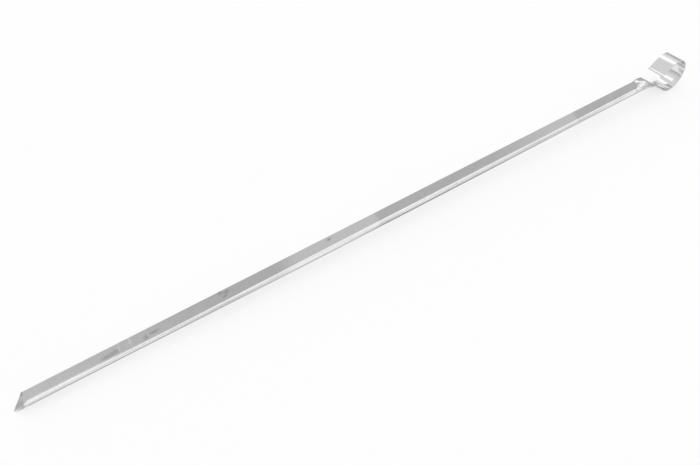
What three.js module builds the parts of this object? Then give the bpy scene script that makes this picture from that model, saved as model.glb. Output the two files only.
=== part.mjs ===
// Kebab skewer cut from one strip of stainless steel sheet. The strip is folded along its
// centre line into a V channel, cut to a slanted point at one end, and at the other end it
// opens out flat, falls behind a crest and is rolled up and over into an open ring handle.
// Millimetres, +Z up, +X along the blade towards the ring, +Y to the far flange.
// The zones of the strip are separate solids that meet face to face on flat sections.
import * as THREE from "three";

// Sheet and overall size
const overallLength = 600;
const stripWidth = 16;
const sheetThickness = 1;

// Blade: each flange's slope from level, steeper where the V is pinched behind the point
const flangeAngle = THREE.MathUtils.degToRad(36);
const pinchedFlangeAngle = THREE.MathUtils.degToRad(48);
const pinchLength = 230;
const foldWidth = 1.4;

// Point: the cut runs back from the fold to the flange edges. The inner side is ground back
// from the cut, a long way at the fold and hardly at all at the flange edges.
const pointCutLength = 8;
const groundAtFold = 6;
const groundAtEdge = 0.4;
const pointLength = 24;

// Neck: from a crease across the V the fold climbs and the flanges open out flat, up to a
// bend whose top is the crest line
const neckLength = 14;
const crestRadius = 3;

// Ring handle: its centre is placed from the crest line and the fold of the blade
const ringOuterRadius = 15;
const ringLead = 26.5;
const ringRise = 3.2;
const shankAngle = THREE.MathUtils.degToRad(33.5);
const legAngle = THREE.MathUtils.degToRad(32);
const legLength = 10.5;
const lipLength = 1.5;
const lipAngle = THREE.MathUtils.degToRad(17);

// How finely each curved zone is divided
const foldSteps = 8;
const pinchSteps = 10;
const neckSteps = 10;
const crestSteps = 6;
const ringSteps = 36;

// Places worked out from the sizes, in the blade's frame: x from the flange corners of the
// point, z from the middle of the sheet at the fold
const halfStrip = stripWidth / 2;
const halfSheet = sheetThickness / 2;
const halfFold = foldWidth / 2;
const crestX = overallLength - pointCutLength - ringLead - ringOuterRadius;
const ringX = crestX + ringLead;
const ringMidRadius = ringOuterRadius - halfSheet;
const ringStart = ringPlace(-shankAngle);
const ringEnd = ringPlace(Math.PI + legAngle);
const crestBendReach = crestRadius * Math.sin(shankAngle);
const shankDrop = (ringStart.x - crestX - crestBendReach) * Math.tan(shankAngle);
const shankTopZ = ringStart.z + shankDrop;
const crestZ = shankTopZ + crestRadius * (1 - Math.cos(shankAngle));
const neckX = crestX - neckLength;
const crestBendZ = crestZ - crestRadius;
const climbAngle = bearing(neckLength, crestBendZ) + touchAngle(neckLength, crestBendZ, crestRadius);
const climbEndX = crestX - crestRadius * Math.sin(climbAngle);

// A place on the ring's middle line, from the heading of the strip there
function ringPlace(heading) {
  return {
    x: ringX + ringMidRadius * Math.sin(heading),
    z: ringRise - ringMidRadius * Math.cos(heading),
    heading,
    flange: 0,
  };
}

// The slope of the line to a place dx along and dz up
function bearing(dx, dz) {
  return Math.atan2(dz, dx);
}

// How far a line turns from that place, a circle's centre, to touch the circle's rim
function touchAngle(dx, dz, radius) {
  return Math.asin(radius / Math.hypot(dx, dz));
}

// Whole steps from 0 to 1, both ends included
function shares(steps) {
  return Array.from({ length: steps + 1 }, (_, step) => step / steps);
}

// Distances across the flat strip at which the section has corners, near edge to far edge
function foldedCorners() {
  const fold = shares(foldSteps).map((share) => THREE.MathUtils.lerp(-halfFold, halfFold, share));
  return [-halfStrip, ...fold, halfStrip];
}

function flatCorners() {
  return [-halfStrip, halfStrip];
}

// One corner of the folded section: where a line drawn along the flat strip ends up, and
// which way the sheet's upper side faces there. The strip keeps its width as it is folded.
function foldCorner(across, flange) {
  const side = Math.sign(across);
  const inFold = Math.min(Math.abs(across), halfFold);
  const onFlange = Math.abs(across) - inFold;
  const turn = flange * (inFold / halfFold);
  const bendY = flange > 0 ? halfFold * (Math.sin(turn) / flange) : inFold;
  const bendZ = flange > 0 ? halfFold * ((1 - Math.cos(turn)) / flange) : 0;
  return {
    y: side * (bendY + onFlange * Math.cos(turn)),
    z: bendZ + onFlange * Math.sin(turn),
    tilt: side * turn,
  };
}

// The two faces of the sheet at one station of the strip. A station is a place on the
// middle line of the fold, the heading of the strip there and the slope of its flanges.
function stationFaces(station, corners) {
  const faces = { upper: [], lower: [] };
  for (const across of corners) {
    const corner = foldCorner(across, station.flange);
    for (const [name, side] of [["upper", halfSheet], ["lower", -halfSheet]]) {
      const y = corner.y - side * Math.sin(corner.tilt);
      const height = corner.z + side * Math.cos(corner.tilt);
      const x = station.x - height * Math.sin(station.heading);
      const z = station.z + height * Math.cos(station.heading);
      faces[name].push(new THREE.Vector3(x, y, z));
    }
  }
  return faces;
}

// A closed length of sheet through a row of stations: both faces, both edges, both ends
function sheetGeometry(rows) {
  const across = rows[0].upper.length;
  const positions = rows.flatMap((row) => [...row.upper, ...row.lower]);
  const upper = (row, corner) => row * across * 2 + corner;
  const lower = (row, corner) => upper(row, corner) + across;
  const index = [];
  const quad = (a, b, c, d) => index.push(a, b, c, a, c, d);
  const last = rows.length - 1;
  const far = across - 1;
  for (let row = 0; row < last; row += 1) {
    for (let corner = 0; corner < far; corner += 1) {
      quad(upper(row, corner), upper(row + 1, corner), upper(row + 1, corner + 1), upper(row, corner + 1));
      quad(lower(row, corner), lower(row, corner + 1), lower(row + 1, corner + 1), lower(row + 1, corner));
    }
    quad(upper(row, 0), lower(row, 0), lower(row + 1, 0), upper(row + 1, 0));
    quad(upper(row, far), upper(row + 1, far), lower(row + 1, far), lower(row, far));
  }
  for (let corner = 0; corner < far; corner += 1) {
    quad(upper(0, corner), upper(0, corner + 1), lower(0, corner + 1), lower(0, corner));
    quad(upper(last, corner), lower(last, corner), lower(last, corner + 1), upper(last, corner + 1));
  }
  const geometry = new THREE.BufferGeometry().setFromPoints(positions);
  geometry.setIndex(index);
  geometry.computeVertexNormals();
  return geometry;
}

// Bright stainless steel: cold rolled on the faces, duller where it is ground
function zone(name, rows, roughness) {
  const steel = new THREE.MeshStandardMaterial({
    color: 0xb9b9b9,
    metalness: 1,
    roughness,
    flatShading: true,
  });
  const mesh = new THREE.Mesh(sheetGeometry(rows), steel);
  mesh.name = name;
  return mesh;
}

// A station on the straight blade, where the V opens from its pinched angle
function bladeStation(x) {
  const opened = THREE.MathUtils.smoothstep(x, 0, pinchLength);
  return { x, z: 0, heading: 0, flange: THREE.MathUtils.lerp(pinchedFlangeAngle, flangeAngle, opened) };
}

function pointRows() {
  const cut = { upper: [], lower: [] };
  for (const across of foldedCorners()) {
    const outward = Math.abs(across) / halfStrip;
    const cutX = THREE.MathUtils.lerp(-pointCutLength, 0, outward);
    const groundX = cutX + THREE.MathUtils.lerp(groundAtFold, groundAtEdge, outward);
    cut.upper.push(...stationFaces(bladeStation(groundX), [across]).upper);
    cut.lower.push(...stationFaces(bladeStation(cutX), [across]).lower);
  }
  return [cut, stationFaces(bladeStation(pointLength), foldedCorners())];
}

function bladeRows() {
  const pinched = shares(pinchSteps).map((share) => THREE.MathUtils.lerp(pointLength, pinchLength, share));
  const places = [...pinched, neckX];
  return places.map((x) => stationFaces(bladeStation(x), foldedCorners()));
}

// The flanges keep their slope at first and fall open just before the crest
function neckRows() {
  const crease = { x: neckX, z: 0, heading: 0, flange: flangeAngle };
  const climb = shares(neckSteps).slice(1).map((share) => {
    const x = THREE.MathUtils.lerp(neckX, climbEndX, share);
    const z = (x - neckX) * Math.tan(climbAngle);
    return { x, z, heading: climbAngle, flange: flangeAngle * (1 - share ** 3) };
  });
  const bend = shares(crestSteps).slice(1).map((share) => {
    const heading = THREE.MathUtils.lerp(climbAngle, -shankAngle, share);
    const x = crestX - crestRadius * Math.sin(heading);
    const z = crestZ - crestRadius * (1 - Math.cos(heading));
    return { x, z, heading, flange: 0 };
  });
  return [crease, ...climb, ...bend].map((station) => stationFaces(station, foldedCorners()));
}

function shankRows() {
  const top = { x: crestX + crestBendReach, z: shankTopZ, heading: -shankAngle, flange: 0 };
  return [top, ringStart].map((station) => stationFaces(station, flatCorners()));
}

function ringRows() {
  const places = shares(ringSteps).map((share) => {
    return ringPlace(THREE.MathUtils.lerp(ringStart.heading, ringEnd.heading, share));
  });
  return places.map((place) => stationFaces(place, flatCorners()));
}

// The place reached by going straight on from a station
function ahead(station, length) {
  return {
    ...station,
    x: station.x + length * Math.cos(station.heading),
    z: station.z + length * Math.sin(station.heading),
  };
}

// The free end runs straight back towards the blade, then turns down in a short lip
function legRows() {
  const legEnd = ahead(ringEnd, legLength);
  const lipStart = { ...legEnd, heading: legEnd.heading + lipAngle };
  const mitre = { ...legEnd, heading: legEnd.heading + lipAngle / 2 };
  const lipEnd = ahead(lipStart, lipLength);
  return [ringEnd, mitre, lipEnd].map((station) => stationFaces(station, flatCorners()));
}

const skewer = new THREE.Group();
skewer.add(
  zone("point", pointRows(), 0.35),
  zone("blade", bladeRows(), 0.3),
  zone("neck", neckRows(), 0.25),
  zone("shank", shankRows(), 0.22),
  zone("ring", ringRows(), 0.22),
  zone("leg", legRows(), 0.22),
);

// The skewer lies on the tip of its point and the bottom of its ring, so it is leaned by
// the slope of the line that leaves the tip and just touches the ring from below
const tipToRingX = ringX + pointCutLength;
const tipToRingZ = ringRise + halfSheet;
const underRing = touchAngle(tipToRingX, tipToRingZ, ringOuterRadius);
skewer.rotation.y = bearing(tipToRingX, tipToRingZ) - underRing;

// The origin is the middle of the footprint, on the surface that the skewer lies on
const bounds = new THREE.Box3().setFromObject(skewer, true);
const middle = bounds.getCenter(new THREE.Vector3());
skewer.position.set(-middle.x, -middle.y, -bounds.min.z);

export default skewer;
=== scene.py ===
import math

import bmesh
import bpy
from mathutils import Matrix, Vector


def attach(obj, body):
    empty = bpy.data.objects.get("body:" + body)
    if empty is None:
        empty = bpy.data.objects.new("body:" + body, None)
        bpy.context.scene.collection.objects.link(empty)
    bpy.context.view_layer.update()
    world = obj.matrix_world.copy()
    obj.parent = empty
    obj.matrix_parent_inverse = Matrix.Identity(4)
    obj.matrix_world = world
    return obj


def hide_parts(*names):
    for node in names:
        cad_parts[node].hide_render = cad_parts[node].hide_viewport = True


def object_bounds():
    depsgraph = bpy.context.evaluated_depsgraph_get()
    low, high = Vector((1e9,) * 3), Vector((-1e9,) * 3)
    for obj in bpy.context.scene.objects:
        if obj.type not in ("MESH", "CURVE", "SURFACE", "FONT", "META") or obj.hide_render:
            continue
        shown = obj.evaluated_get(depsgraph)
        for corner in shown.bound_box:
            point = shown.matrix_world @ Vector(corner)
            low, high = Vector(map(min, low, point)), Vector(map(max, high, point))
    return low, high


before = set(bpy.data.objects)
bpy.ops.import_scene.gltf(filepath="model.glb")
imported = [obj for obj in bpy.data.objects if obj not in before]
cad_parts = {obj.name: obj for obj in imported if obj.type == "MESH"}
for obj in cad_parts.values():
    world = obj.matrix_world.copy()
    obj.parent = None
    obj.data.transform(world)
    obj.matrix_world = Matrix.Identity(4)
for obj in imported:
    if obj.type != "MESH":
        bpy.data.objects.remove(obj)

cad_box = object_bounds()

# Kebab skewer, one strip of bright stainless steel: slit from cold rolled sheet, folded along
# its middle, ground to a slanted point, opened out flat behind a crest and rolled into a ring.
# The pieces are drawn in the blade's frame, in metres: x along the fold from the flange corners
# of the point, y to the far flange, z up from the middle of the sheet at the fold. At the end
# each one is laid down in the shared frame, on the tip of the point and the bottom of the ring.
MM = 0.001

# The strip
OVERALL_LENGTH = 600 * MM
HALF_STRIP = 8 * MM
THICKNESS = 1 * MM
HALF_FOLD = 1.2 * MM
BROKEN_EDGE = 0.13 * MM

# Blade and point: the V is pinched towards the point, which is cut on a slant and ground back
# from the cut, a long way at the fold and hardly at all at the flange edges
OPEN_SLOPE = math.radians(36)
PINCHED_SLOPE = math.radians(48)
PINCH_LENGTH = 230 * MM
POINT_LENGTH = 24 * MM
POINT_CUT = 8 * MM
GROUND_AT_FOLD = 6 * MM
GROUND_AT_EDGE = 0.4 * MM

# Neck: a larger sweep lifts it sooner, a larger opening keeps the V longer, and a larger
# settling brings the flanges level more gently. Its climb ends at a low angle on the crest.
NECK_LENGTH = 14 * MM
NECK_SWEEP = 4
NECK_OPENING = 2
NECK_SETTLING = 1.3
CLIMB_END = math.radians(7.5)
CREST_RADIUS = 3 * MM

# Shank, ring and leg, whose lip is bent down over a short length
SHANK_FALL = math.radians(33.5)
RING_OUTER_RADIUS = 15 * MM
RING_LEAD = 26.5 * MM
RING_Z = 3.2 * MM
LEG_FALL = math.radians(32)
LEG_LENGTH = 10.5 * MM
LIP_LENGTH = 1.5 * MM
LIP_TURN = math.radians(17)
LIP_BEND = 0.9 * MM

# How finely the strip is divided: across its flanges and half its fold, then along its zones
FLANGE_LINES = (6.2 * MM, 4.4 * MM, 2.6 * MM)
FOLD_STEPS = 6
POINT_SECTIONS = [x * MM for x in (18, 12, 8, 5, 3, 1.4, 0.8, 0.4)]
PINCHED_STEPS = 20
STRAIGHT_STEPS = 6
CLIMB_STEPS = 26
CREST_STEPS = 16
SHANK_STEPS = 8
RING_STEPS = 108
LEG_SECTIONS = [length * MM for length in (2.5, 5, 7.5)]
LIP_STEPS = 5

# A section this close to a piece's end keeps its shading square to the strip there, so that
# the strip runs on from piece to piece without a seam. On the neck it is a share of the climb
# and of the bend over the crest.
SEAM = 0.05 * MM
CLIMB_SEAM = 0.004
CREST_SEAM = 0.005

# Corners no further apart than this are taken to be in the same place
SAME_PLACE = 0.02 * MM

# Edges sharper than this were left by a cut
CUT_ANGLE = math.radians(60)

# The shading is smooth over bends up to this angle. The ground face leaves the flanges at a low
# angle, so the limit at the point is lower.
SMOOTH_UP_TO = math.radians(40)
SMOOTH_AT_POINT = math.radians(9)

# Each piece has the rolled sheet's steel in its first slot, and then these
EDGE_SLOT = 1
GROUND_SLOT = 2

# Places that follow from the sizes
RING_X = OVERALL_LENGTH - POINT_CUT - RING_OUTER_RADIUS
RING_RADIUS = RING_OUTER_RADIUS - THICKNESS / 2
CREST_X = RING_X - RING_LEAD
NECK_X = CREST_X - NECK_LENGTH

# How the skewer lies. It is leaned about y until the line from the tip of the point to the
# underside of the ring is level, and moved until the tip is on the ground, at the low end of
# the CAD's box.
TIP_X, TIP_Z = -POINT_CUT, -THICKNESS / 2
TO_RING_X, TO_RING_Z = RING_X - TIP_X, RING_Z - TIP_Z
UNDER_RING = math.asin(RING_OUTER_RADIUS / math.hypot(TO_RING_X, TO_RING_Z))
LEAN = math.atan2(TO_RING_Z, TO_RING_X) - UNDER_RING
LEANED_TIP_X = TIP_X * math.cos(LEAN) + TIP_Z * math.sin(LEAN)
LEANED_TIP_Z = TIP_Z * math.cos(LEAN) - TIP_X * math.sin(LEAN)
LAID_AT = (cad_box[0].x - LEANED_TIP_X, 0, -LEANED_TIP_Z)

# The flange corners of the point, and the crest, by their x in the shared frame
POINT_AT = LAID_AT[0]
CREST_AT = POINT_AT + CREST_X


# Places along the strip

def station(x, z=0.0, heading=0.0, slope=0.0):
    """A place on the middle of the fold, the strip's heading there and its flanges' slope."""
    return {"x": x, "z": z, "heading": heading, "slope": slope}


def shares(steps):
    return [step / steps for step in range(steps + 1)]


def between(low, high, share):
    return low + (high - low) * share


def blade_slope(x):
    opened = min(max(x / PINCH_LENGTH, 0), 1)
    return between(PINCHED_SLOPE, OPEN_SLOPE, opened * opened * (3 - 2 * opened))


def ring_place(heading):
    x = RING_X + RING_RADIUS * math.sin(heading)
    z = RING_Z - RING_RADIUS * math.cos(heading)
    return station(x, z, heading)


def ahead(place, length):
    x = place["x"] + length * math.cos(place["heading"])
    z = place["z"] + length * math.sin(place["heading"])
    return dict(place, x=x, z=z)


RING_START = ring_place(-SHANK_FALL)
RING_END = ring_place(math.pi + LEG_FALL)
SHANK_TOP_X = CREST_X + CREST_RADIUS * math.sin(SHANK_FALL)
SHANK_TOP_Z = RING_START["z"] + (RING_START["x"] - SHANK_TOP_X) * math.tan(SHANK_FALL)
CREST_Z = SHANK_TOP_Z + CREST_RADIUS * (1 - math.cos(SHANK_FALL))
CLIMB_END_X = CREST_X - CREST_RADIUS * math.sin(CLIMB_END)
CLIMB_END_Z = CREST_Z - CREST_RADIUS * (1 - math.cos(CLIMB_END))


# Bending the strip

def across_lines():
    fold = [between(-HALF_FOLD, HALF_FOLD, share) for share in shares(2 * FOLD_STEPS)]
    near = [-HALF_STRIP] + [-line for line in FLANGE_LINES]
    return near + fold + [-line for line in reversed(near)]


ACROSS = across_lines()
MIDDLE = len(ACROSS) // 2


def edited_mesh():
    mesh = bmesh.from_edit_mesh(bpy.context.object.data)
    mesh.verts.ensure_lookup_table()
    return mesh


def selected_corners(mesh):
    """The selected section's corners, from the near edge to the far one."""
    return sorted((vert for vert in mesh.verts if vert.select), key=lambda vert: vert.co.y)


def select_only(mesh, corners):
    for vert in mesh.verts:
        vert.select_set(vert in corners)
    mesh.select_flush_mode()
    bmesh.update_edit_mesh(bpy.context.object.data)


def turn_about_y(angle, centre):
    if angle:
        bpy.ops.transform.rotate(value=angle, orient_axis="Y", center_override=centre)


def fold_section(change):
    """Folds the selected section's flanges up by this much more, line by line through the fold.
    The first and the last line of each half turn half as far as those between them."""
    mesh = edited_mesh()
    order = [corner.index for corner in selected_corners(mesh)]
    for side in (-1, 1):
        for line in range(FOLD_STEPS + 1):
            share = 0.5 if line in (0, FOLD_STEPS) else 1.0
            hinge = MIDDLE + side * line
            beyond = order[hinge + 1:] if side > 0 else order[:hinge]
            mesh = edited_mesh()
            centre = tuple(mesh.verts[order[hinge]].co)
            select_only(mesh, [mesh.verts[index] for index in beyond])
            turn = -side * share * change / FOLD_STEPS
            bpy.ops.transform.rotate(value=turn, orient_axis="X", center_override=centre)
    mesh = edited_mesh()
    select_only(mesh, [mesh.verts[index] for index in order])


def shape_section(here, there):
    """Turns the selected section to its new heading, and folds it upright on the way if the
    slope of its flanges changes."""
    centre = (there["x"], 0, there["z"])
    change = there["slope"] - here["slope"]
    if change:
        turn_about_y(-here["heading"], centre)
        fold_section(change)
        turn_about_y(there["heading"], centre)
    else:
        turn_about_y(there["heading"] - here["heading"], centre)


def draw_section(name, place):
    """Draws the strip's middle line across its width, out of one corner of a plane."""
    bpy.ops.object.select_all(action="DESELECT")
    bpy.ops.mesh.primitive_plane_add(size=2 * HALF_STRIP, location=(0, 0, 0))
    piece = bpy.context.object
    piece.name = piece.data.name = name
    bpy.ops.object.mode_set(mode="EDIT")
    bpy.ops.mesh.merge(type="CENTER")
    bpy.ops.transform.translate(value=(place["x"], ACROSS[0], place["z"]))
    for line, next_line in zip(ACROSS, ACROSS[1:]):
        step = (0, next_line - line, 0)
        bpy.ops.mesh.extrude_region_move(TRANSFORM_OT_translate={"value": step})
    bpy.ops.mesh.select_all(action="SELECT")
    shape_section(station(0), place)
    return piece


def run_on(places):
    """Extrudes the selected end of the strip from place to place, turning and folding it."""
    for here, there in zip(places, places[1:]):
        step = (there["x"] - here["x"], 0, there["z"] - here["z"])
        bpy.ops.mesh.extrude_region_move(TRANSFORM_OT_translate={"value": step})
        shape_section(here, there)


def add_modifier(piece, name, kind, **settings):
    modifier = piece.modifiers.new(name, kind)
    for key, value in settings.items():
        setattr(modifier, key, value)
    bpy.ops.object.modifier_apply(modifier=modifier.name)


def give_thickness(piece):
    """Turns the drawn middle of the sheet into sheet metal, with a cut edge all round."""
    bpy.ops.mesh.select_all(action="SELECT")
    bpy.ops.mesh.normals_make_consistent(inside=False)
    bpy.ops.object.mode_set(mode="OBJECT")
    add_modifier(
        piece, "Sheet thickness", "SOLIDIFY",
        thickness=THICKNESS, offset=0, use_even_offset=True, use_quality_normals=True,
        material_offset_rim=EDGE_SLOT,
    )


def break_edges(piece, free_end=None):
    """Takes the sharp corners off the slit edges, and off the end that stays free, if the piece
    has one. An end that meets the next piece keeps its corners, or a groove would show across
    the strip."""
    bpy.ops.object.mode_set(mode="EDIT")
    bpy.ops.mesh.select_mode(type="EDGE")
    mesh = bmesh.from_edit_mesh(piece.data)
    for edge in mesh.edges:
        a, b = (vert.co for vert in edge.verts)
        runs_along = abs(a.y - b.y) < 0.3 * (a - b).length
        on_slit_edge = runs_along and abs(a.y) > HALF_STRIP / 2
        in_joint = all(face.material_index == EDGE_SLOT for face in edge.link_faces)
        broken = on_slit_edge and not in_joint
        if free_end:
            middle = (a + b) / 2
            away = math.hypot(middle.x - free_end["x"], middle.z - free_end["z"])
            broken = broken or away < THICKNESS / 2 + SAME_PLACE
        edge.select_set(broken and edge.calc_face_angle(0) > CUT_ANGLE)
    bmesh.update_edit_mesh(piece.data)
    bpy.ops.mesh.bevel(offset=BROKEN_EDGE, segments=3, profile=0.5, affect="EDGES")
    bpy.ops.mesh.select_mode(type="VERT")
    bpy.ops.object.mode_set(mode="OBJECT")


def lay_down(piece, node_name, smooth_up_to):
    """Smooths the shading, lays the piece in the shared frame and puts it in its node's place."""
    bpy.ops.object.select_all(action="DESELECT")
    piece.select_set(True)
    bpy.context.view_layer.objects.active = piece
    bpy.ops.object.shade_smooth_by_angle(angle=smooth_up_to)
    add_modifier(piece, "Flat faces stay flat", "WEIGHTED_NORMAL", keep_sharp=True, weight=80)
    piece.rotation_euler = (0, LEAN, 0)
    piece.location = LAID_AT
    bpy.ops.object.transform_apply(location=True, rotation=True, scale=True)
    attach(piece, "root")
    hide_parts(node_name)


# Materials

# A Mix node's colour sockets: the two that go in and the one that comes out
COLOUR_A, COLOUR_B = 6, 7
MIXED_COLOUR = 2


def linear(code):
    """An sRGB hex colour in the linear values that a colour socket takes."""
    channels = [int(code[i:i + 2], 16) / 255 for i in (1, 3, 5)]
    return [c / 12.92 if c <= 0.04045 else ((c + 0.055) / 1.055) ** 2.4 for c in channels] + [1]


def node(tree, kind, inputs=None, **settings):
    """Adds a node with its settings, and its inputs given as values or as linked sockets."""
    made = tree.nodes.new(kind)
    for key, value in settings.items():
        setattr(made, key, value)
    for key, value in (inputs or {}).items():
        if isinstance(value, bpy.types.NodeSocket):
            tree.links.new(value, made.inputs[key])
        else:
            made.inputs[key].default_value = value
    return made


def new_material(name):
    material = bpy.data.materials.new(name)
    material.use_nodes = True
    material.node_tree.nodes.clear()
    return material, material.node_tree


def cells(*sizes):
    """The scale that draws a pattern's cells this many millimetres long in x, y and z."""
    return [1 / (size * MM) for size in sizes]


def stretch(tree, along, origin, marks, level=1.0):
    """A length of the strip: nothing where it starts, its level from full to still full, and
    nothing again where it ends. The marks are in millimetres from the origin."""
    starts, full, still_full, ends = [origin + mark * MM for mark in marks]
    coming = node(
        tree, "ShaderNodeMapRange",
        {"Value": along, "From Min": starts, "From Max": full, "To Max": level}, clamp=True,
    ).outputs["Result"]
    going = node(
        tree, "ShaderNodeMapRange",
        {"Value": along, "From Min": still_full, "From Max": ends, "To Min": 1.0, "To Max": 0.0},
        clamp=True,
    ).outputs["Result"]
    return node(
        tree, "ShaderNodeMath", {0: coming, 1: going}, operation="MULTIPLY",
    ).outputs["Value"]


# Lengths of a flange painted brighter, a painted highlight for the light bands that reflections
# leave along the strip: 1 for the far flange or -1 for the near one, and where the length
# starts, is full, still is full and ends, in millimetres from the flange corners of the point
PAINTED_HIGHLIGHT_LENGTHS = ((1, 172, 188, 254, 258), (1, 366, 432, 461, 465), (-1, -20, -10, 84, 116))


def painted_highlight_lengths(tree, along, across):
    brightened = 0.0
    for side, *marks in PAINTED_HIGHLIGHT_LENGTHS:
        length = stretch(tree, along, POINT_AT, marks, level=0.95)
        # The painted highlight comes in over half a millimetre from the middle of the fold
        on_side = node(
            tree, "ShaderNodeMath", {0: across, 1: side / (0.5 * MM)},
            operation="MULTIPLY", use_clamp=True,
        ).outputs["Value"]
        brightened = node(
            tree, "ShaderNodeMath", {0: length, 1: on_side, 2: brightened}, operation="MULTIPLY_ADD",
        ).outputs["Value"]
    return brightened


# Each mark by its middle's x and y in the blade's frame, its length and its width, in
# millimetres. The short marks are handling marks. The long ones, along the fold and the near
# flange, are painted shade where dull and painted highlight where rubbed: the darker and lighter
# lines that reflections draw along the V.
DULL_MARKS_AND_PAINTED_SHADE = (
    (50, 2.2, 10, 2.4), (56, 2.6, 8, 2.8), (76, 2.2, 5, 2.8), (81.5, 2.8, 9, 2),
    (129.5, 5, 5, 2.2), (133.5, 4.2, 6, 2.4), (131.5, 2.6, 5, 1.6), (215, 4.5, 5, 2),
    (205, -0.2, 130, 1), (300, -6.3, 140, 1.8), (500, -5.4, 110, 4.6),
)
# The long rubbed marks are painted highlight along the fold and the near flange
RUBBED_MARKS_AND_PAINTED_HIGHLIGHTS = (
    (58.5, 3.6, 1.4, 7), (66, 3.8, 2.2, 5), (77.5, 2.6, 1.4, 1.6),
    (8, 0.3, 190, 2.4), (278, -2.4, 90, 3.8), (385, -0.6, 190, 4.4),
)


def covered_by(tree, place, grain, marks):
    """How far these marks cover the sheet. The grain breaks up their edges."""
    covered = 0.0
    for x, y, length, width in marks:
        from_middle = node(
            tree, "ShaderNodeVectorMath", {0: place, 1: (x * MM + POINT_AT, y * MM, 0)},
            operation="SUBTRACT",
        ).outputs["Vector"]
        in_halves = node(
            tree, "ShaderNodeVectorMath",
            {0: from_middle, 1: (2 / (length * MM), 2 / (width * MM), 0)}, operation="MULTIPLY",
        ).outputs["Vector"]
        away = node(
            tree, "ShaderNodeVectorMath", {0: in_halves}, operation="LENGTH",
        ).outputs["Value"]
        away = node(
            tree, "ShaderNodeMath", {0: away, 1: grain}, operation="ADD",
        ).outputs["Value"]
        mark = node(
            tree, "ShaderNodeMapRange",
            {"Value": away, "From Min": 0.7, "From Max": 1.6, "To Min": 1.0, "To Max": 0.0},
            clamp=True,
        ).outputs["Result"]
        covered = node(
            tree, "ShaderNodeMath", {0: mark, 1: covered}, operation="ADD", use_clamp=True,
        ).outputs["Value"]
    return covered


def rough_and_shaded_crest(tree, along, across):
    """The bend over the crest is stretched, which leaves it rougher than the rest. Its colour is
    also darker, a painted shade for the dark line on the bend's far side. Both reach further back
    along the strip's two edges."""
    outward = node(tree, "ShaderNodeMath", {0: across}, operation="ABSOLUTE").outputs["Value"]
    corner = node(
        tree, "ShaderNodeMapRange",
        {"Value": outward, "From Min": 6.2 * MM, "From Max": HALF_STRIP, "To Max": 3.5 * MM},
        clamp=True,
    ).outputs["Result"]
    reached = node(
        tree, "ShaderNodeMath", {0: along, 1: corner}, operation="ADD",
    ).outputs["Value"]
    coming = node(
        tree, "ShaderNodeMapRange",
        {"Value": reached, "From Min": CREST_AT - 1.6 * MM, "From Max": CREST_AT - 0.4 * MM},
        clamp=True,
    ).outputs["Result"]
    going = node(
        tree, "ShaderNodeMapRange",
        {"Value": along, "From Min": CREST_AT + 2.4 * MM, "From Max": CREST_AT + 4 * MM,
         "To Min": 1.0, "To Max": 0.0},
        clamp=True,
    ).outputs["Result"]
    return node(
        tree, "ShaderNodeMath", {0: coming, 1: going}, operation="MULTIPLY",
    ).outputs["Value"]


def sheet_relief(tree, place, along, grain):
    """Slow waves from the rolls, dents where the press formed the neck, lines and grain."""
    wave_place = node(tree, "ShaderNodeMapping", {"Vector": place, "Scale": cells(59, 24, 59)})
    waves = node(
        tree, "ShaderNodeTexNoise",
        {"Vector": wave_place.outputs["Vector"], "Scale": 1.0, "Detail": 1.0, "Roughness": 0.5},
    ).outputs["Fac"]
    normal = node(
        tree, "ShaderNodeBump", {"Height": waves, "Distance": 0.4 * MM, "Strength": 0.1},
    ).outputs["Normal"]
    # The press tool's dents are nearly 4 mm across and stop short of the crest
    dent_place = node(tree, "ShaderNodeMapping", {"Vector": place, "Scale": cells(3.7, 3.7, 3.7)})
    dents = node(
        tree, "ShaderNodeTexNoise",
        {"Vector": dent_place.outputs["Vector"], "Scale": 1.0, "Detail": 0.0},
    ).outputs["Fac"]
    pressed = stretch(tree, along, CREST_AT, (-16, -12, -3, -1))
    dent_depth = node(
        tree, "ShaderNodeMath", {0: dents, 1: pressed}, operation="MULTIPLY",
    ).outputs["Value"]
    normal = node(
        tree, "ShaderNodeBump",
        {"Height": dent_depth, "Distance": 0.3 * MM, "Strength": 0.6, "Normal": normal},
    ).outputs["Normal"]
    # The rolls' lines are hairlines in fact. They are drawn 0.8 mm apart and run for 60 mm.
    line_place = node(tree, "ShaderNodeMapping", {"Vector": place, "Scale": cells(60, 0.8, 0.8)})
    lines = node(
        tree, "ShaderNodeTexNoise",
        {"Vector": line_place.outputs["Vector"], "Scale": 1.0, "Detail": 2.0, "Roughness": 0.5},
    ).outputs["Fac"]
    normal = node(
        tree, "ShaderNodeBump",
        {"Height": lines, "Distance": 0.008 * MM, "Strength": 0.05, "Normal": normal},
    ).outputs["Normal"]
    return node(
        tree, "ShaderNodeBump",
        {"Height": grain, "Distance": 0.012 * MM, "Strength": 0.04, "Normal": normal},
    ).outputs["Normal"]


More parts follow.
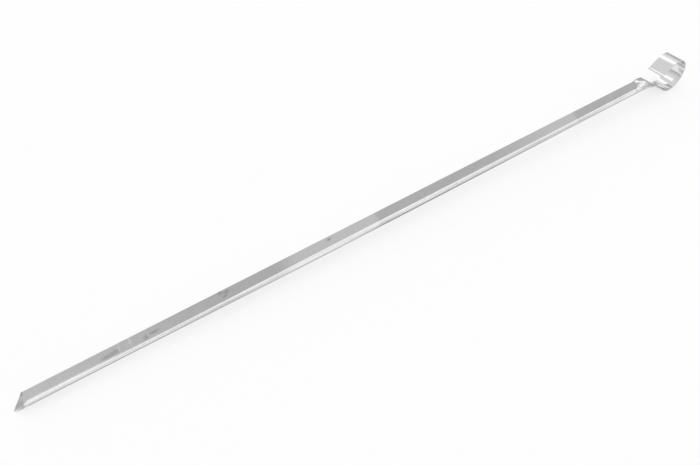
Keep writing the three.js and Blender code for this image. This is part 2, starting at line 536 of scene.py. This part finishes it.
def cold_rolled_stainless():
    """Bright annealed 304 sheet. The rolls leave it smooth and neutral grey, with a very fine
    grain across the strip and faint lines along it. Handling adds soft smudges and marks, and the
    press that formed the neck leaves it dented and its crest dull. Some lengths of the flanges are
    painted brighter, a painted highlight. Long stripes along the fold and the near flange are
    painted shade and painted highlight, and the crest is painted darker, a painted shade."""
    material, tree = new_material("bright_cold_rolled_stainless_304")
    place = node(tree, "ShaderNodeTexCoord").outputs["Object"]
    parts = node(tree, "ShaderNodeSeparateXYZ", {"Vector": place})
    along, across = parts.outputs["X"], parts.outputs["Y"]

    # The rolls' grain is about 0.05 mm wide. It is drawn 0.9 mm wide, or it would not show.
    grain_place = node(tree, "ShaderNodeMapping", {"Vector": place, "Scale": cells(0.9, 6, 2)})
    grain = node(
        tree, "ShaderNodeTexNoise",
        {"Vector": grain_place.outputs["Vector"], "Scale": 1.0, "Detail": 3.0, "Roughness": 0.6},
    ).outputs["Fac"]
    grained = node(
        tree, "ShaderNodeMapRange",
        {"Value": grain, "From Min": 0.35, "From Max": 0.65, "To Max": 0.45}, clamp=True,
    ).outputs["Result"]
    # Smudges about 17 mm long, the size of a fingertip
    smudge_place = node(tree, "ShaderNodeMapping", {"Vector": place, "Scale": cells(17, 10, 17)})
    smudges = node(
        tree, "ShaderNodeTexNoise",
        {"Vector": smudge_place.outputs["Vector"], "Scale": 1.0, "Detail": 4.0, "Roughness": 0.6},
    ).outputs["Fac"]
    smeared = node(
        tree, "ShaderNodeMapRange",
        {"Value": smudges, "From Min": 0.35, "From Max": 0.7}, clamp=True,
    ).outputs["Result"]
    crest_rough_and_shade = rough_and_shaded_crest(tree, along, across)

    # Each finish, painted highlight and painted shade is laid over those before it
    colour = linear("#ECECEC")
    for share, code in (
        (smeared, "#E4E4E4"),
        (grained, "#DEDEDE"),
        # Painted highlight: lengths of the flanges painted brighter
        (painted_highlight_lengths(tree, along, across), "#FBFBFB"),
        # Handling marks, and painted shade in the long stripes along the fold and the near flange
        (covered_by(tree, place, grain, DULL_MARKS_AND_PAINTED_SHADE), "#CACACA"),
        # Handling marks, and painted highlight in the long stripes along the fold and the near
        # flange
        (covered_by(tree, place, grain, RUBBED_MARKS_AND_PAINTED_HIGHLIGHTS), "#F8F8F8"),
        # Painted shade: the bend over the crest darker than the sheet
        (crest_rough_and_shade, "#B8B8B8"),
    ):
        colour = node(
            tree, "ShaderNodeMix",
            {"Factor": share, COLOUR_A: colour, COLOUR_B: linear(code)}, data_type="RGBA",
        ).outputs[MIXED_COLOUR]

    polish = node(
        tree, "ShaderNodeMapRange",
        {"Value": smudges, "From Min": 0.3, "From Max": 0.75, "To Min": 0.1, "To Max": 0.17},
        clamp=True,
    ).outputs["Result"]
    roughness = node(
        tree, "ShaderNodeMapRange",
        {"Value": crest_rough_and_shade, "To Min": polish, "To Max": 0.28}, clamp=True,
    ).outputs["Result"]
    normal = sheet_relief(tree, place, along, grain)
    metal = node(
        tree, "ShaderNodeBsdfPrincipled",
        {"Base Color": colour, "Metallic": 1.0, "Roughness": roughness, "Normal": normal},
    )
    node(tree, "ShaderNodeOutputMaterial", {"Surface": metal.outputs["BSDF"]})
    return material


# The length of the near edge painted darker, a painted shade, by its marks in millimetres from
# the flange corners of the point, as the lengths painted brighter have
SHADED_NEAR_EDGE = (235, 260, 350, 440)


def slit_edge():
    """The edge left by the slitting rolls, tumbled until it is dull: fine lines across it. Part
    of the near edge is painted darker, a painted shade."""
    material, tree = new_material("slit_and_tumbled_stainless_edge")
    place = node(tree, "ShaderNodeTexCoord").outputs["Object"]
    parts = node(tree, "ShaderNodeSeparateXYZ", {"Vector": place})
    along, across = parts.outputs["X"], parts.outputs["Y"]
    # The shear's lines are about 0.1 mm apart, drawn 0.3 mm apart
    shear_place = node(tree, "ShaderNodeMapping", {"Vector": place, "Scale": cells(0.3, 1.8, 1.8)})
    shear = node(
        tree, "ShaderNodeTexNoise",
        {"Vector": shear_place.outputs["Vector"], "Scale": 1.0, "Detail": 2.0},
    ).outputs["Fac"]
    colour = node(
        tree, "ShaderNodeMix",
        {"Factor": shear, COLOUR_A: linear("#C6C6C6"), COLOUR_B: linear("#DCDCDC")},
        data_type="RGBA",
    ).outputs[MIXED_COLOUR]
    near_edge = node(
        tree, "ShaderNodeMath", {0: across, 1: 0.0}, operation="LESS_THAN",
    ).outputs["Value"]
    edge_shade = node(
        tree, "ShaderNodeMath", {0: stretch(tree, along, POINT_AT, SHADED_NEAR_EDGE), 1: near_edge},
        operation="MULTIPLY",
    ).outputs["Value"]
    # Painted shade on part of the near edge
    colour = node(
        tree, "ShaderNodeMix",
        {"Factor": edge_shade, COLOUR_A: colour, COLOUR_B: linear("#A6A6A6")}, data_type="RGBA",
    ).outputs[MIXED_COLOUR]
    roughness = node(
        tree, "ShaderNodeMapRange",
        {"Value": shear, "From Min": 0.3, "From Max": 0.7, "To Min": 0.3, "To Max": 0.42},
        clamp=True,
    ).outputs["Result"]
    normal = node(
        tree, "ShaderNodeBump", {"Height": shear, "Distance": 0.05 * MM, "Strength": 0.2},
    ).outputs["Normal"]
    metal = node(
        tree, "ShaderNodeBsdfPrincipled",
        {"Base Color": colour, "Metallic": 1.0, "Roughness": roughness, "Normal": normal},
    )
    node(tree, "ShaderNodeOutputMaterial", {"Surface": metal.outputs["BSDF"]})
    return material


def ground_bevel():
    """The point's ground face: 120 grit scratches from the fold outwards, duller than the sheet.
    Its near half is brighter."""
    material, tree = new_material("belt_ground_stainless")
    place = node(tree, "ShaderNodeTexCoord").outputs["Object"]
    # 120 grit leaves scratches about 0.1 mm apart, drawn 0.25 mm apart
    scratch_place = node(tree, "ShaderNodeMapping", {"Vector": place, "Scale": cells(0.25, 3, 1.5)})
    scratches = node(
        tree, "ShaderNodeTexNoise",
        {"Vector": scratch_place.outputs["Vector"], "Scale": 1.0, "Detail": 3.0},
    ).outputs["Fac"]
    colour = node(
        tree, "ShaderNodeMix",
        {"Factor": scratches, COLOUR_A: linear("#9A9A9A"), COLOUR_B: linear("#B4B4B4")},
        data_type="RGBA",
    ).outputs[MIXED_COLOUR]
    across = node(tree, "ShaderNodeSeparateXYZ", {"Vector": place}).outputs["Y"]
    near_half = node(
        tree, "ShaderNodeMapRange",
        {"Value": across, "From Min": 0.3 * MM, "From Max": -0.3 * MM, "To Max": 0.8},
        clamp=True,
    ).outputs["Result"]
    colour = node(
        tree, "ShaderNodeMix",
        {"Factor": near_half, COLOUR_A: colour, COLOUR_B: linear("#F0F0F0")}, data_type="RGBA",
    ).outputs[MIXED_COLOUR]
    roughness = node(
        tree, "ShaderNodeMapRange",
        {"Value": scratches, "From Min": 0.3, "From Max": 0.7, "To Min": 0.3, "To Max": 0.45},
        clamp=True,
    ).outputs["Result"]
    normal = node(
        tree, "ShaderNodeBump", {"Height": scratches, "Distance": 0.06 * MM, "Strength": 0.35},
    ).outputs["Normal"]
    metal = node(
        tree, "ShaderNodeBsdfPrincipled",
        {"Base Color": colour, "Metallic": 1.0, "Roughness": roughness, "Normal": normal},
    )
    node(tree, "ShaderNodeOutputMaterial", {"Surface": metal.outputs["BSDF"]})
    return material


# Pieces

STEELS = (cold_rolled_stainless(), slit_edge(), ground_bevel())


def start_strip(name, place):
    piece = draw_section(name, place)
    for steel in STEELS:
        piece.data.materials.append(steel)
    return piece


def finish_strip(piece, node_name, free_end=None):
    give_thickness(piece)
    break_edges(piece, free_end)
    lay_down(piece, node_name, SMOOTH_UP_TO)


def make_point():
    xs = [POINT_LENGTH, POINT_LENGTH - SEAM] + POINT_SECTIONS
    places = [station(x, slope=blade_slope(x)) for x in xs]
    piece = start_strip("point_strip", places[0])
    run_on(places)
    mesh = edited_mesh()
    middle_line = [tuple(corner.co) for corner in selected_corners(mesh)]
    give_thickness(piece)
    grind_point(piece, middle_line)
    break_edges(piece)
    lay_down(piece, "point", SMOOTH_AT_POINT)


def grind_point(piece, middle_line):
    """Draws the end's corners out, below to the slanted cut and above to the ground line."""
    bpy.ops.object.mode_set(mode="EDIT")
    mesh = bmesh.from_edit_mesh(piece.data)
    end_x = middle_line[0][0]
    end = {vert for vert in mesh.verts if abs(vert.co.x - end_x) < SAME_PLACE}
    for face in mesh.faces:
        if all(vert in end for vert in face.verts):
            face.material_index = GROUND_SLOT
    slope = blade_slope(end_x)
    for line, (_, middle_y, middle_z) in zip(ACROSS, middle_line):
        tilt = slope * max(min(line / HALF_FOLD, 1), -1)
        outward = abs(line) / HALF_STRIP
        cut_x = between(-POINT_CUT, 0, outward)
        ground_x = cut_x + between(GROUND_AT_FOLD, GROUND_AT_EDGE, outward)
        for side, x in ((1, ground_x), (-1, cut_x)):
            y = middle_y - side * THICKNESS / 2 * math.sin(tilt)
            z = middle_z + side * THICKNESS / 2 * math.cos(tilt)
            corner = min(end, key=lambda vert: math.hypot(vert.co.y - y, vert.co.z - z))
            select_only(mesh, [corner])
            bpy.ops.transform.translate(value=(x - end_x, 0, 0))
            end.discard(corner)
    bpy.ops.object.mode_set(mode="OBJECT")


def make_blade():
    pinched = [between(POINT_LENGTH, PINCH_LENGTH, share) for share in shares(PINCHED_STEPS)]
    straight = [between(PINCH_LENGTH, NECK_X, share) for share in shares(STRAIGHT_STEPS)]
    starts, ends = [POINT_LENGTH, POINT_LENGTH + SEAM], [NECK_X - SEAM, NECK_X]
    xs = starts + pinched[1:] + straight[1:-1] + ends
    places = [station(x, slope=blade_slope(x)) for x in xs]
    piece = start_strip("blade_strip", places[0])
    run_on(places)
    finish_strip(piece, "blade")


def climb_place(share):
    """The neck climbs out of the blade, fast and then slower, and opens out flat as it goes. Its
    height is the quartic that leaves the blade level and meets the crest's bend at its angle."""
    slope = OPEN_SLOPE * (1 - share ** NECK_OPENING) ** NECK_SETTLING
    run = CLIMB_END_X - NECK_X
    leaves = math.tan(CLIMB_END) * run / CLIMB_END_Z
    cubic, quartic = 4 - 2 * NECK_SWEEP - leaves, leaves + NECK_SWEEP - 3
    rise = NECK_SWEEP * share ** 2 + cubic * share ** 3 + quartic * share ** 4
    steepness = 2 * NECK_SWEEP * share + 3 * cubic * share ** 2 + 4 * quartic * share ** 3
    heading = math.atan(steepness * CLIMB_END_Z / run)
    return station(NECK_X + run * share, CLIMB_END_Z * rise, heading, slope)


def crest_place(share):
    heading = between(CLIMB_END, -SHANK_FALL, share)
    x = CREST_X - CREST_RADIUS * math.sin(heading)
    z = CREST_Z - CREST_RADIUS * (1 - math.cos(heading))
    return station(x, z, heading)


def make_neck():
    climb = [climb_place(share) for share in [0, CLIMB_SEAM] + shares(CLIMB_STEPS)[1:]]
    crest = [crest_place(share) for share in shares(CREST_STEPS)[1:-1] + [1 - CREST_SEAM, 1]]
    piece = start_strip("neck_strip", climb[0])
    run_on(climb + crest)
    finish_strip(piece, "neck")


def make_shank():
    top = station(SHANK_TOP_X, SHANK_TOP_Z, -SHANK_FALL)
    length = math.hypot(RING_START["x"] - SHANK_TOP_X, RING_START["z"] - SHANK_TOP_Z)
    inner = [length * share for share in shares(SHANK_STEPS)[1:-1]]
    places = [ahead(top, mark) for mark in [0, SEAM] + inner + [length - SEAM, length]]
    piece = start_strip("shank_strip", places[0])
    run_on(places)
    finish_strip(piece, "shank")


def make_ring():
    piece = start_strip("ring_strip", RING_START)
    sweep = math.pi + LEG_FALL + SHANK_FALL
    seam = SEAM / RING_RADIUS
    for steps, angle in ((1, seam), (RING_STEPS, sweep - 2 * seam), (1, seam)):
        bpy.ops.mesh.spin(steps=steps, angle=angle, center=(RING_X, 0, RING_Z), axis=(0, 1, 0))
    bpy.ops.mesh.select_all(action="SELECT")
    bpy.ops.mesh.remove_doubles(threshold=SAME_PLACE)
    finish_strip(piece, "ring")


def make_leg():
    """The free end comes straight back, and bends down evenly into its lip."""
    flat = [ahead(RING_END, mark) for mark in [0, SEAM] + LEG_SECTIONS]
    place = ahead(RING_END, LEG_LENGTH - LIP_BEND / 2)
    bend = [place]
    for step in range(LIP_STEPS):
        place = dict(place, heading=RING_END["heading"] + LIP_TURN * (step + 0.5) / LIP_STEPS)
        place = ahead(place, LIP_BEND / LIP_STEPS)
        bend.append(dict(place, heading=RING_END["heading"] + LIP_TURN * (step + 1) / LIP_STEPS))
    lip_end = ahead(bend[-1], LIP_LENGTH - LIP_BEND / 2)
    piece = start_strip("leg_strip", flat[0])
    run_on(flat + bend + [lip_end])
    finish_strip(piece, "leg", free_end=lip_end)


for make in (make_point, make_blade, make_neck, make_shank, make_ring, make_leg):
    make()


# Floor, light and camera

# The floor's width and the lamps' distance from the skewer, in metres
FLOOR_SIZE = 8
LAMP_REACH = 5

# The share of the floor that is seen as lit from behind, and how bright that light is
BACKLIT = 0.65
GLOW = 1.05


def white_floor():
    """Matt white paint on board: pale, even and without gloss."""
    material, tree = new_material("white_painted_board")
    place = node(tree, "ShaderNodeTexCoord").outputs["Object"]
    # The roller's stipple, about 3 mm
    stipple = node(
        tree, "ShaderNodeTexNoise", {"Vector": place, "Scale": cells(3)[0], "Detail": 2.0},
    ).outputs["Fac"]
    colour = node(
        tree, "ShaderNodeMix",
        {"Factor": stipple, COLOUR_A: linear("#FAFAFA"), COLOUR_B: linear("#FCFCFC")},
        data_type="RGBA",
    ).outputs[MIXED_COLOUR]
    paint = node(tree, "ShaderNodeBsdfDiffuse", {"Color": colour}).outputs["BSDF"]
    # The camera, the metal and any glass see two thirds of it as lit from behind, which keeps
    # the ground white and the skewer's shadow faint
    glow = node(tree, "ShaderNodeEmission", {"Color": colour, "Strength": GLOW}).outputs["Emission"]
    seen = node(tree, "ShaderNodeLightPath")
    by_lens = node(
        tree, "ShaderNodeMath",
        {0: seen.outputs["Is Camera Ray"], 1: seen.outputs["Is Glossy Ray"]}, operation="MAXIMUM",
    ).outputs["Value"]
    by_lens = node(
        tree, "ShaderNodeMath",
        {0: by_lens, 1: seen.outputs["Is Transmission Ray"]}, operation="MAXIMUM",
    ).outputs["Value"]
    backlit = node(
        tree, "ShaderNodeMath", {0: by_lens, 1: BACKLIT}, operation="MULTIPLY",
    ).outputs["Value"]
    surface = node(tree, "ShaderNodeMixShader", {"Fac": backlit, 1: paint, 2: glow})
    node(tree, "ShaderNodeOutputMaterial", {"Surface": surface.outputs["Shader"]})
    return material


bpy.ops.object.select_all(action="DESELECT")
bpy.ops.mesh.primitive_plane_add(size=FLOOR_SIZE, location=(0, 0, 0))
floor = bpy.context.object
floor.name = "floor"
floor.data.materials.append(white_floor())


def toward(azimuth, elevation):
    """The direction at these angles in degrees: azimuth from +x to +y, elevation from level."""
    azimuth, elevation = math.radians(azimuth), math.radians(elevation)
    level = math.cos(elevation)
    return (level * math.cos(azimuth), level * math.sin(azimuth), math.sin(elevation))


def softbox(name, shape, azimuth, elevation, width, height, brightness):
    """A softbox in the room's far field, given by the angles it fills as the skewer sees it."""
    lamp = bpy.data.lights.new(name, "AREA")
    lamp.shape = shape
    lamp.size = 2 * LAMP_REACH * math.tan(math.radians(width / 2))
    lamp.size_y = 2 * LAMP_REACH * math.tan(math.radians(height / 2))
    area = lamp.size * lamp.size_y * (math.pi / 4 if shape == "DISK" else 1)
    lamp.energy = brightness * math.pi * area
    box = bpy.data.objects.new(name, lamp)
    bpy.context.scene.collection.objects.link(box)
    box.location = [LAMP_REACH * part for part in toward(azimuth, elevation)]
    box.rotation_euler = (-box.location).to_track_quat("-Z", "Y").to_euler()
    box.visible_camera = False


softbox("right_strip_softbox", "RECTANGLE", 50, 58.5, 28, 12, 0.55)
softbox("rear_right_softbox", "RECTANGLE", 15, 58.5, 26, 12, 0.15)
softbox("left_strip_softbox", "RECTANGLE", 133, 57, 22, 11, 0.68)
softbox("rear_low_softbox", "RECTANGLE", 6, 41.5, 34, 9, 0.75)
softbox("front_left_softbox", "RECTANGLE", -102, 56, 24, 14, 0.45)
softbox("front_right_softbox", "RECTANGLE", -25, 58, 24, 12, 0.35)
softbox("overhead_octabox", "DISK", 10, 84, 32, 32, 0.25)

# The room: a low level all round, and soft patches of light on its walls and ceiling, each by
# azimuth, elevation and brightness. A patch falls to half 24 degrees from its middle.
ROOM_LEVEL = 0.148
PATCH_TIGHTNESS = 8
ROOM_PATCHES = (
    (-90, 8, 0.66), (-45, 8, 0.74), (0, 8, 0.1), (45, 8, 0.21), (90, 8, 1.6), (135, 8, 0.43),
    (-160, 42, 1.4), (0, 42, 0.06), (40, 42, 0.43), (80, 42, 0.35), (120, 42, 0.14),
    (160, 42, 0.18), (0, 72, 0.4), (180, 72, 0.29), (-90, 66, 0.17),
)

world = bpy.data.worlds.new("studio")
bpy.context.scene.world = world
world.use_nodes = True
room = world.node_tree
room.nodes.clear()
outward = node(room, "ShaderNodeTexCoord").outputs["Generated"]
level = ROOM_LEVEL
for azimuth, elevation, brightness in ROOM_PATCHES:
    nearness = node(
        room, "ShaderNodeVectorMath", {0: outward, 1: toward(azimuth, elevation)},
        operation="DOT_PRODUCT",
    ).outputs["Value"]
    fall = node(
        room, "ShaderNodeMath", {0: nearness, 1: PATCH_TIGHTNESS, 2: -PATCH_TIGHTNESS},
        operation="MULTIPLY_ADD",
    ).outputs["Value"]
    patch = node(room, "ShaderNodeMath", {0: fall}, operation="EXPONENT").outputs["Value"]
    level = node(
        room, "ShaderNodeMath", {0: patch, 1: brightness, 2: level}, operation="MULTIPLY_ADD",
    ).outputs["Value"]
background = node(room, "ShaderNodeBackground", {"Color": linear("#FFFFFF"), "Strength": level})
node(room, "ShaderNodeOutputWorld", {"Surface": background.outputs["Background"]})

# The camera's place, aim and lens were fitted to the skewer's outline in the photograph
camera_data = bpy.data.cameras.new("camera")
camera_data.sensor_width = 36
camera_data.lens = 37.7334
camera_data.clip_start = 0.01
camera = bpy.data.objects.new("camera", camera_data)
bpy.context.scene.collection.objects.link(camera)
camera.location = (-0.275763, -0.294261, 0.374961)
camera.rotation_euler = [math.radians(angle) for angle in (44.9202, -0.5909, -35.4025)]
bpy.context.scene.camera = camera

bpy.context.scene.view_settings.view_transform = "Standard"
